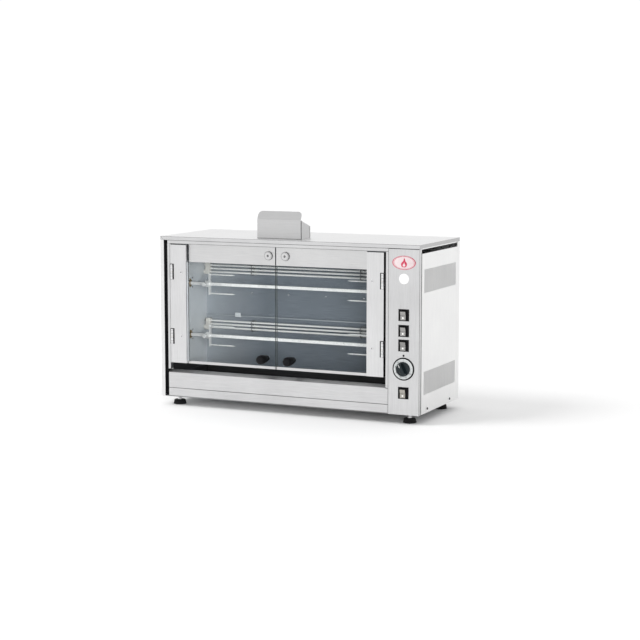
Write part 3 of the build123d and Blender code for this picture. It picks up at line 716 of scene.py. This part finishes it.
def make_locks(materials):
    """A dark insert with a bright slot in each lock, a thin ring on its face and its sleeve in the rail, the
    sleeve painted shade for the side of the disc.
    """
    for side, inward in DOORS:
        low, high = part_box(f"{side}_door_lock")
        x = high.x - LOCK_RADIUS if inward > 0 else low.x + LOCK_RADIUS
        centre = Vector((x, low.y, (low.z + high.z) / 2))
        insert, slot, rings = bmesh.new(), bmesh.new(), bmesh.new()
        profile = [(0, 0.0014), (0.0036, 0.0014), (0.0036, 0.0002), (0.0032, -0.0002), (0, -0.0002)]
        add_lathe(insert, profile, centre, "Y", 32)
        finish_mesh(f"{side}_lock_insert", insert, materials["black_and_shade"], f"{side}_lock")
        add_slab(slot, centre - Vector((0.0028, 0.0003, 0.0005)), centre + Vector((0.0028, 0.0001, 0.0005)),
                 0.0001)
        finish_mesh(f"{side}_lock_slot", slot, materials["polished"], f"{side}_lock")
        add_lathe(rings, washer(0.0120, 0.0128, -0.00025, 0.0003, 0.0001), centre, "Y", 64)
        # painted shade: the sleeve's dark ring stands for the shaded side of the lock's disc
        add_lathe(rings, washer(0.0140, 0.01475, 0.0016, SLEEVE_DEPTH, 0.0001), centre, "Y", 64)
        finish_mesh(f"{side}_lock_sleeve", rings, materials["painted_shade_line"], f"{side}_lock")


def make_hinge_shades(materials):
    """Painted shade: black slabs in the gaps between the jambs and the hinge barrels."""
    shades = bmesh.new()
    for side, inward in DOORS:
        stile_low, stile_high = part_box(f"{side}_door_stile")
        edge = stile_low.x if inward > 0 else stile_high.x
        near, far = sorted((edge - inward * (JAMB_GAP[side] - 0.0001), edge - inward * 0.0009))
        for _, top in islands(f"{side}_door_knuckles"):
            add_slab(shades, (near, stile_low.y - 0.0006, top.z - HINGE_LENGTH - 0.0010),
                     (far, stile_low.y + 0.0006, top.z + 0.0010), 0.0001)
    finish_mesh("hinge_gap_shades", shades, materials["black_and_shade"], "case")


def make_hinge_details(materials):
    """Knuckle seams on both hinge halves, a bronze washer where they meet, and a black liner in the notch as
    painted shade.
    """
    seam = washer(0.0042, 0.00462, -0.0003, 0.0003, 0.0001)
    spacer = washer(0.0025, 0.0047, -0.00045, -0.00005, 0.0001)
    for side, inward in DOORS:
        door_seams, frame_seams, spacers, notch_shade = bmesh.new(), bmesh.new(), bmesh.new(), bmesh.new()
        stile_low, stile_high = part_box(f"{side}_door_stile")
        edge = stile_low.x if inward > 0 else stile_high.x
        x, y = edge + inward * HINGE_INSET, stile_low.y - HINGE_PROUD
        front, back = stile_low.y - 0.0003, stile_low.y + 0.0004
        upright = sorted((edge + inward * 0.0088, edge + inward * 0.0126))
        across = sorted((edge, edge + inward * 0.0121))
        for low, high in islands(f"{side}_door_knuckles"):
            height = high.z - low.z
            foot = low.z - height - 0.0015
            for share in (0.4, 0.8):
                add_lathe(door_seams, seam, (x, y, low.z + share * height), "Z", 40)
            add_lathe(door_seams, dome(0.0040, 0.0010), (x, y, high.z), "Z", 40)
            for share in (0.2, 0.6):
                add_lathe(frame_seams, seam, (x, y, low.z - share * height), "Z", 40)
            add_lathe(spacers, spacer, (x, y, low.z), "Z", 40)
            # painted shade: a black liner over the notch around the barrel
            add_slab(notch_shade, (upright[0], front, foot), (upright[1], back, high.z + 0.0010), 0.0001)
            for level in (high.z + 0.0001, foot):
                add_slab(notch_shade, (across[0], front, level), (across[1], back, level + 0.0020), 0.0001)
        finish_mesh(f"{side}_hinge_door_seams", door_seams, materials["black_and_shade"], f"{side}_door")
        finish_mesh(f"{side}_hinge_frame_seams", frame_seams, materials["black_and_shade"], "case")
        finish_mesh(f"{side}_hinge_washers", spacers, materials["bronze"], "case")
        finish_mesh(f"{side}_hinge_notch_painted_shade", notch_shade, materials["black_and_shade"], f"{side}_door")


def make_edge_seals(materials):
    """Black seals on the stiles' outer sides. They keep behind the notches where the hinges are."""
    for side, inward in DOORS:
        low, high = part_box(f"{side}_door_stile")
        edge = low.x if inward > 0 else high.x
        x0, x1 = sorted((edge, edge - inward * 0.0003))
        foot, head, notch_back = low.z + 0.001, high.z - 0.001, low.y + NOTCH_DEPTH
        bm = bmesh.new()
        add_slab(bm, (x0, notch_back, foot), (x1, high.y - 0.0005, head))
        for start, end in between_hinges(side, foot, head, 0.0015):
            add_slab(bm, (x0, low.y + 0.0008, start), (x1, notch_back, end))
        finish_mesh(f"{side}_edge_seal", bm, materials["black_and_shade"], f"{side}_door")


def make_feet(materials):
    """Rubber feet with three grooves each, and the threads of their studs."""
    bm, threads = bmesh.new(), bmesh.new()
    for low, high in islands("rubber_feet"):
        centre, radius, height = middle((low, high)), (high.x - low.x) / 2, high.z - low.z
        profile = [(0, 0), (radius - 0.003, 0), (radius - 0.0006, 0.0008), (radius, 0.0030)]
        for share in (0.30, 0.50, 0.70):
            groove = radius - 0.003 * share
            profile += [(groove, height * share - 0.0012), (groove - 0.0010, height * share),
                        (groove, height * share + 0.0012)]
        profile += [(radius - 0.0030, height - 0.002), (radius - 0.0052, height - 0.0002), (0, height)]
        add_lathe(bm, profile, (centre.x, centre.y, low.z), "Z", 64)
    feet = finish_mesh("ribbed_feet", bm, materials["rubber"], "case", 50)
    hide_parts("rubber_feet")
    pan_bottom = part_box("base_pan")[0].z
    for low, high in islands("foot_studs"):
        centre = middle((low, high))
        start = low.z + 0.003
        for turn in range(int((pan_bottom - start) / THREAD_PITCH)):
            add_lathe(threads, washer(0.0044, 0.0053, 0.0002, 0.0011, 0.0003),
                      (centre.x, centre.y, start + turn * THREAD_PITCH), "Z", 32)
    finish_mesh("stud_threads", threads, materials["polished"], "case")


def make_handle_collars(materials):
    """Collars at the feet of the handles' necks."""
    for side in ("left", "right"):
        low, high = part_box(f"{side}_door_handle")
        centre = middle((low, high))
        bm = bmesh.new()
        add_lathe(bm, washer(0.0082, 0.0098, high.y - 0.0012, high.y, 0.0003), (centre.x, 0, centre.z), "Y",
                  48)
        finish_mesh(f"{side}_handle_collar", bm, materials["black"], f"{side}_door")


def make_glass_edges(materials):
    """Ground edges of the panes, along the gap between the doors."""
    width, proud = 0.0012, 0.00005
    for side, inward in DOORS:
        low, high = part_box(f"{side}_door_glass")
        trim_top, rail_bottom = pane_opening(side)
        x0, x1 = (high.x - width, high.x) if inward > 0 else (low.x, low.x + width)
        slab(f"{side}_pane_edge", (x0, low.y - proud, trim_top), (x1, high.y + proud, rail_bottom),
             materials["glass_edge"], f"{side}_door", 0.0002)


def make_stile_returns(materials):
    """Painted light: pale sheets on the stiles' inner returns, where they face the pane."""
    for side, inward in DOORS:
        low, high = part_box(f"{side}_door_stile")
        glass_low, glass_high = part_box(f"{side}_door_glass")
        trim_top, rail_bottom = pane_opening(side)
        face = high.x if inward > 0 else low.x
        x0, x1 = sorted((face, face + inward * 0.0003))
        bm = bmesh.new()
        for y0, y1 in ((low.y + 0.005, glass_low.y - 0.0006), (glass_high.y + 0.0006, high.y - 0.0002)):
            add_slab(bm, (x0, y0, trim_top + 0.0005), (x1, y1, rail_bottom - 0.0005))
        finish_mesh(f"{side}_stile_return", bm, materials["painted_light_side_lining"], f"{side}_door")


def make_cavity_fittings(materials):
    """Ceramic collars and end blocks on the elements, and rivets in the back wall and around the bearings."""
    collars, rivets = bmesh.new(), bmesh.new()
    left_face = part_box("cavity_left_wall")[1].x
    right_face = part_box("cavity_right_wall")[0].x
    half_turn = Matrix.Rotation(math.pi, 4, "Z")
    for low, high in islands("heating_elements"):
        y = (low.y + high.y) / 2
        tube_radius = (high.y - low.y) / 2
        for x, z, direction in ((left_face, low.z + tube_radius, 1), (right_face, high.z - tube_radius, -1)):
            profile = [(0.0037, 0), (0.0085, 0), (0.0085, direction * 0.006), (0.0070, direction * 0.009),
                       (0.0037, direction * 0.009), (0.0037, 0)]
            add_lathe(collars, profile, (x, y, z), "X", 36)
        bend = low.x + 0.021
        add_slab(collars, (bend - 0.001, low.y - 0.004, low.z - 0.005),
                 (bend + 0.017, high.y + 0.006, high.z + 0.005), 0.0015)
    finish_mesh("element_collars", collars, materials["ceramic"], "case")
    back_low, back_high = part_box("cavity_back_wall")
    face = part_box("element_brackets")[1].y
    for row in (0.05, 0.62, 0.97):
        for column in range(6):
            x = back_low.x + (0.05 + 0.18 * column) * (back_high.x - back_low.x)
            z = back_low.z + row * (back_high.z - back_low.z)
            add_lathe(rivets, dome(0.0032, 0.0016), (x, face, z), "Y", 20, half_turn)
    for low, high in islands("spit_bearings"):
        centre = middle((low, high))
        for dy, dz in ((0.022, 0.016), (-0.022, 0.016), (0.022, -0.016), (-0.022, -0.016)):
            head = dome(0.0034, 0.0022)
            add_lathe(rivets, head, (left_face, centre.y + dy, centre.z + dz), "X", 20)
            add_lathe(rivets, head, (right_face, centre.y + dy, centre.z + dz), "X", 20, half_turn)
    finish_mesh("cavity_rivets", rivets, materials["polished"], "case", 60)


def make_ledge_bracket(materials):
    """A painted highlight along the fold across the back wall, and the bracket on it."""
    low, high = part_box("cavity_back_wall")
    fold_level = low.z + FOLD_RISE
    x, half = low.x + FOLD_BRACKET * (high.x - low.x), 0.011
    foot = fold_level - 0.003
    bm = bmesh.new()
    add_slab(bm, (x - half, low.y - 0.0025, foot), (x + half, low.y + 0.008, fold_level - 0.001), 0.0004)
    add_slab(bm, (x - half, low.y - 0.004, foot), (x + half, low.y - 0.0022, fold_level + 0.012), 0.0004)
    finish_mesh("fold_bracket", bm, materials["painted_light_side_lining"], "case")
    # painted highlight along the fold
    slab("fold_painted_highlight", (low.x + 0.012, low.y - 0.0003, fold_level - 0.0012),
         (high.x - 0.012, low.y, fold_level + 0.0028), materials["fold"], "case", 0.0001)


def make_tray_rim(materials):
    """The tray's rolled rim."""
    low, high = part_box("drip_tray")
    radius, inset = 0.0017, 0.0006
    x0, x1, y0, y1 = low.x + inset, high.x - inset, low.y + 0.003, high.y - inset
    corner = 0.004
    points = [(x0 + corner, y0, high.z), (x1 - corner, y0, high.z), (x1, y0 + corner, high.z),
              (x1, y1 - corner, high.z), (x1 - corner, y1, high.z), (x0 + corner, y1, high.z),
              (x0, y1 - corner, high.z), (x0, y0 + corner, high.z)]
    wire_loop("tray_rolled_rim", points, radius, materials["tray"], "drip_drawer")


def make_lip_faces(materials):
    """Brushed faces of the cover's turned-down edges, front and sides; the side faces carry painted shade,
    darker than the side panels.
    """
    low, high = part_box("top_cover")
    thin, foot, head = 0.0002, high.z - 0.0124, high.z - 0.0003
    front, sides = bmesh.new(), bmesh.new()
    add_slab(front, (low.x, low.y - thin, foot), (high.x, low.y, head))
    finish_mesh("cover_front_lip", front, materials["front"], "case")
    for x0, x1 in ((low.x - thin, low.x), (high.x, high.x + thin)):
        add_slab(sides, (x0, low.y, foot), (x1, high.y, head))
    finish_mesh("cover_side_lips", sides, materials["painted_shade_side_lip"], "case")


def make_flue_lines(materials):
    """Painted shade along the flue's folded edges: beside its front plate, along that plate's foot and up its
    back corner.
    """
    low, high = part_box("chimney_front")
    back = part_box("chimney_body")[1].y
    side_in, side_out = high.x - 0.0001, high.x + 0.0004
    bm = bmesh.new()
    add_slab(bm, (side_in, low.y + 0.0013, low.z), (side_out, low.y + 0.0070, low.z + 0.0630))
    add_slab(bm, (low.x, low.y - 0.0004, low.z), (high.x, low.y, low.z + 0.0014))
    add_slab(bm, (side_in, back - 0.0022, low.z), (side_out, back, low.z + 0.0400))
    finish_mesh("flue_edge_lines", bm, materials["painted_shade_line"], "case")


def add_prism(bm, outline, x0, x1):
    """A closed outline of (y, z) points, carried from x0 to x1."""
    first = [bm.verts.new((x0, y, z)) for y, z in outline]
    second = [bm.verts.new((x1, y, z)) for y, z in outline]
    bm.faces.new(first)
    bm.faces.new(second[::-1])
    for index in range(len(outline)):
        after = (index + 1) % len(outline)
        bm.faces.new((first[index], first[after], second[after], second[index]))


def make_lower_shade(materials):
    """Painted shade: black sheets along the foot of the cavity's side walls, beside the tray."""
    left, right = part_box("cavity_left_wall"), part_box("cavity_right_wall")
    trim_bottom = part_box("left_door_bottom_trim")[0].z
    y0, y1, z0 = left[0].y - 0.009, left[1].y - 0.0001, left[0].z
    outline = [(y0, z0), (y1, z0), (y1, trim_bottom - 0.044), (y0, trim_bottom)]
    bm = bmesh.new()
    add_prism(bm, outline, left[1].x + 0.00005, left[1].x + 0.0006)
    add_prism(bm, outline, right[0].x - 0.0006, right[0].x - 0.00005)
    finish_mesh("cavity_foot_painted_shade", bm, materials["tray"], "case")


def make_case_seams(materials):
    """Painted shade as dark lines and sheets on the front: the cover's mitre, the shade under its lip, the
    folded and butted edges, the column's corner, and a black sheet in the recess beside the left jamb.
    """
    low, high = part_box("top_cover")
    column_low, column_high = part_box("control_panel")
    header_low, header_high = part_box("header_rail")
    jamb_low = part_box("left_jamb")[0]
    front, lip_bottom = low.y, high.z - COVER_LIP
    dark, soft = bmesh.new(), bmesh.new()

    def front_line(bm, x0, x1, z0, z1):
        add_slab(bm, (x0, front - LINE_PROUD, z0), (x1, front + LINE_PROUD, z1))

    corner = Vector((low.x + COVER_LIP / 2, front, high.z - COVER_LIP / 2))
    half = Vector((0.0003, LINE_PROUD, COVER_LIP * 0.68))
    add_slab(soft, corner - half, corner + half, 0, Matrix.Rotation(math.radians(-45), 4, "Y"))
    front_line(soft, low.x + 0.001, high.x - 0.001, high.z - 0.0012, high.z - 0.0004)
    front_line(soft, header_low.x, column_low.x, lip_bottom - 0.0014, lip_bottom - 0.0002)
    front_line(dark, column_low.x, column_high.x - 0.0012, lip_bottom - 0.0022, lip_bottom - 0.0004)
    front_line(soft, header_low.x + 0.0082, header_high.x, header_low.z, header_low.z + 0.0011)
    # painted shade down the column's corner with the side panel
    for bm, near, far, drop in ((dark, 0.0002, 0.0020, 0.001), (soft, 0.0158, 0.0205, 0.012)):
        add_slab(bm, (column_high.x - LINE_PROUD, front + near, column_low.z + 0.001),
                 (column_high.x + LINE_PROUD, front + far, column_high.z - drop))
    front_line(soft, column_low.x + 0.0001, column_low.x + 0.0007, column_low.z + 0.001,
               column_high.z - 0.001)
    # painted shade: a black sheet over the recess wall beside the left jamb
    add_slab(dark, (jamb_low.x, front + 0.0176, jamb_low.z),
             (header_low.x, front + 0.0179, lip_bottom - 0.0006))
    finish_mesh("front_butt_shadows", dark, materials["black_and_shade"], "case")
    finish_mesh("front_fold_painted_shade", soft, materials["painted_shade_line"], "case")


def make_rebate_strip(materials):
    """The bright strip between the left jamb and its door, clear of the hinges."""
    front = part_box("top_cover")[0].y
    stile_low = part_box("left_door_stile")[0]
    jamb_edge = stile_low.x - JAMB_GAP["left"]
    strip = bmesh.new()
    for start, end in between_hinges("left", stile_low.z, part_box("header_rail")[0].z, 0.0012):
        add_slab(strip, (jamb_edge + 0.0001, front + 0.0015, start),
                 (jamb_edge + 0.0028, front + 0.0028, end),
                 0.0002)
    finish_mesh("left_rebate_strip", strip, materials["stile"], "case")


materials = make_materials()
dress_frame(materials)
make_dial(materials)
make_knob_pointer(materials)
make_rockers(materials)
make_badge(materials)
make_screw_recesses(materials)
make_locks(materials)
make_hinge_details(materials)
make_hinge_shades(materials)
make_edge_seals(materials)
make_feet(materials)
make_handle_collars(materials)
make_glass_edges(materials)
make_stile_returns(materials)
make_cavity_fittings(materials)
make_ledge_bracket(materials)
make_tray_rim(materials)
make_lip_faces(materials)
make_flue_lines(materials)
make_lower_shade(materials)
make_case_seams(materials)
make_rebate_strip(materials)
make_stage()
make_camera()
bpy.context.scene.view_settings.view_transform = "Standard"
